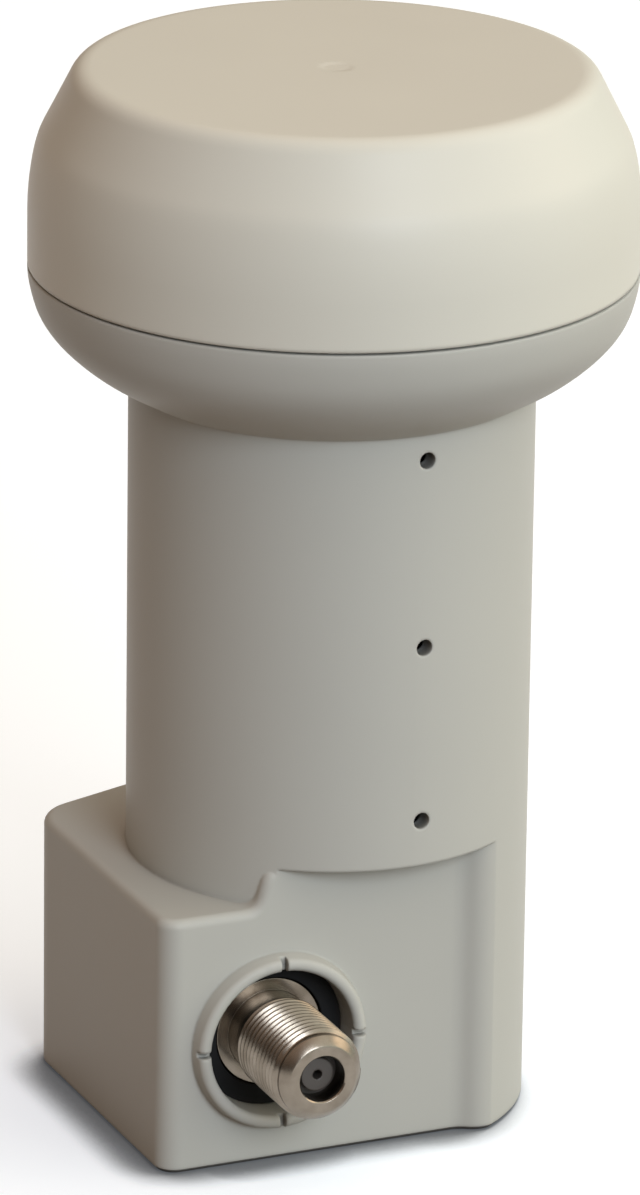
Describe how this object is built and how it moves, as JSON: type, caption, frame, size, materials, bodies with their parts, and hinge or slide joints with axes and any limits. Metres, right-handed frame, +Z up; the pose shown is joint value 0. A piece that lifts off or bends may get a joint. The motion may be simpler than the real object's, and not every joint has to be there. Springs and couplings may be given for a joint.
{
  "type": "satellite lnb",
  "caption": "Upright satellite low-noise block with a drum-shaped feed cap, a round clamp neck and a foot box with a collared coaxial connector.",
  "frame": {"origin": "on the neck axis, in the plane of the base", "axes": "+Z up the neck to the feed cap, -Y out along the coaxial connector, -X to the side on which the foot box stands out"},
  "size_m": [0.0598, 0.0598, 0.1064],
  "materials": {
    "housing_plastic": "satin moulded, warm light grey",
    "cap_plastic": "satin moulded, warm light grey, slightly paler",
    "seal_rubber": "matt black",
    "connector_rubber": "matt black",
    "cast_metal": "fine-grained as cast",
    "screw_steel": "zinc plated",
    "board_laminate": "green solder mask",
    "copper_strip": "bright copper",
    "chip_plastic": "matt black",
    "capacitor_ceramic": "fired, tan",
    "resonator_ceramic": "ground, cream",
    "connector_nickel": "bright nickel plate",
    "insulator_plastic": "dark moulded dielectric",
    "contact_brass": "bright"
  },
  "bodies": {
    "root": {"outer_housing": "housing_plastic", "feed_cap": "cap_plastic", "cap_seal": "seal_rubber", "horn_casting": "cast_metal", "horn_o_ring": "seal_rubber", "chassis": "cast_metal", "pcb": "board_laminate", "pcb_screws": "screw_steel", "polarity_probes": "copper_strip", "lna_transistors": "chip_plastic", "mixer_chip": "chip_plastic", "voltage_regulator": "chip_plastic", "chip_capacitors": "capacitor_ceramic", "resonator_spacers": "resonator_ceramic", "dielectric_resonators": "resonator_ceramic", "shield_cover": "cast_metal", "cover_gasket": "seal_rubber", "cover_screws": "screw_steel", "tuning_screws": "contact_brass", "base_cover": "housing_plastic", "connector_body": "connector_nickel", "connector_insulator": "insulator_plastic", "centre_contact": "contact_brass", "connector_seal": "connector_rubber"}
  },
  "joints": []
}
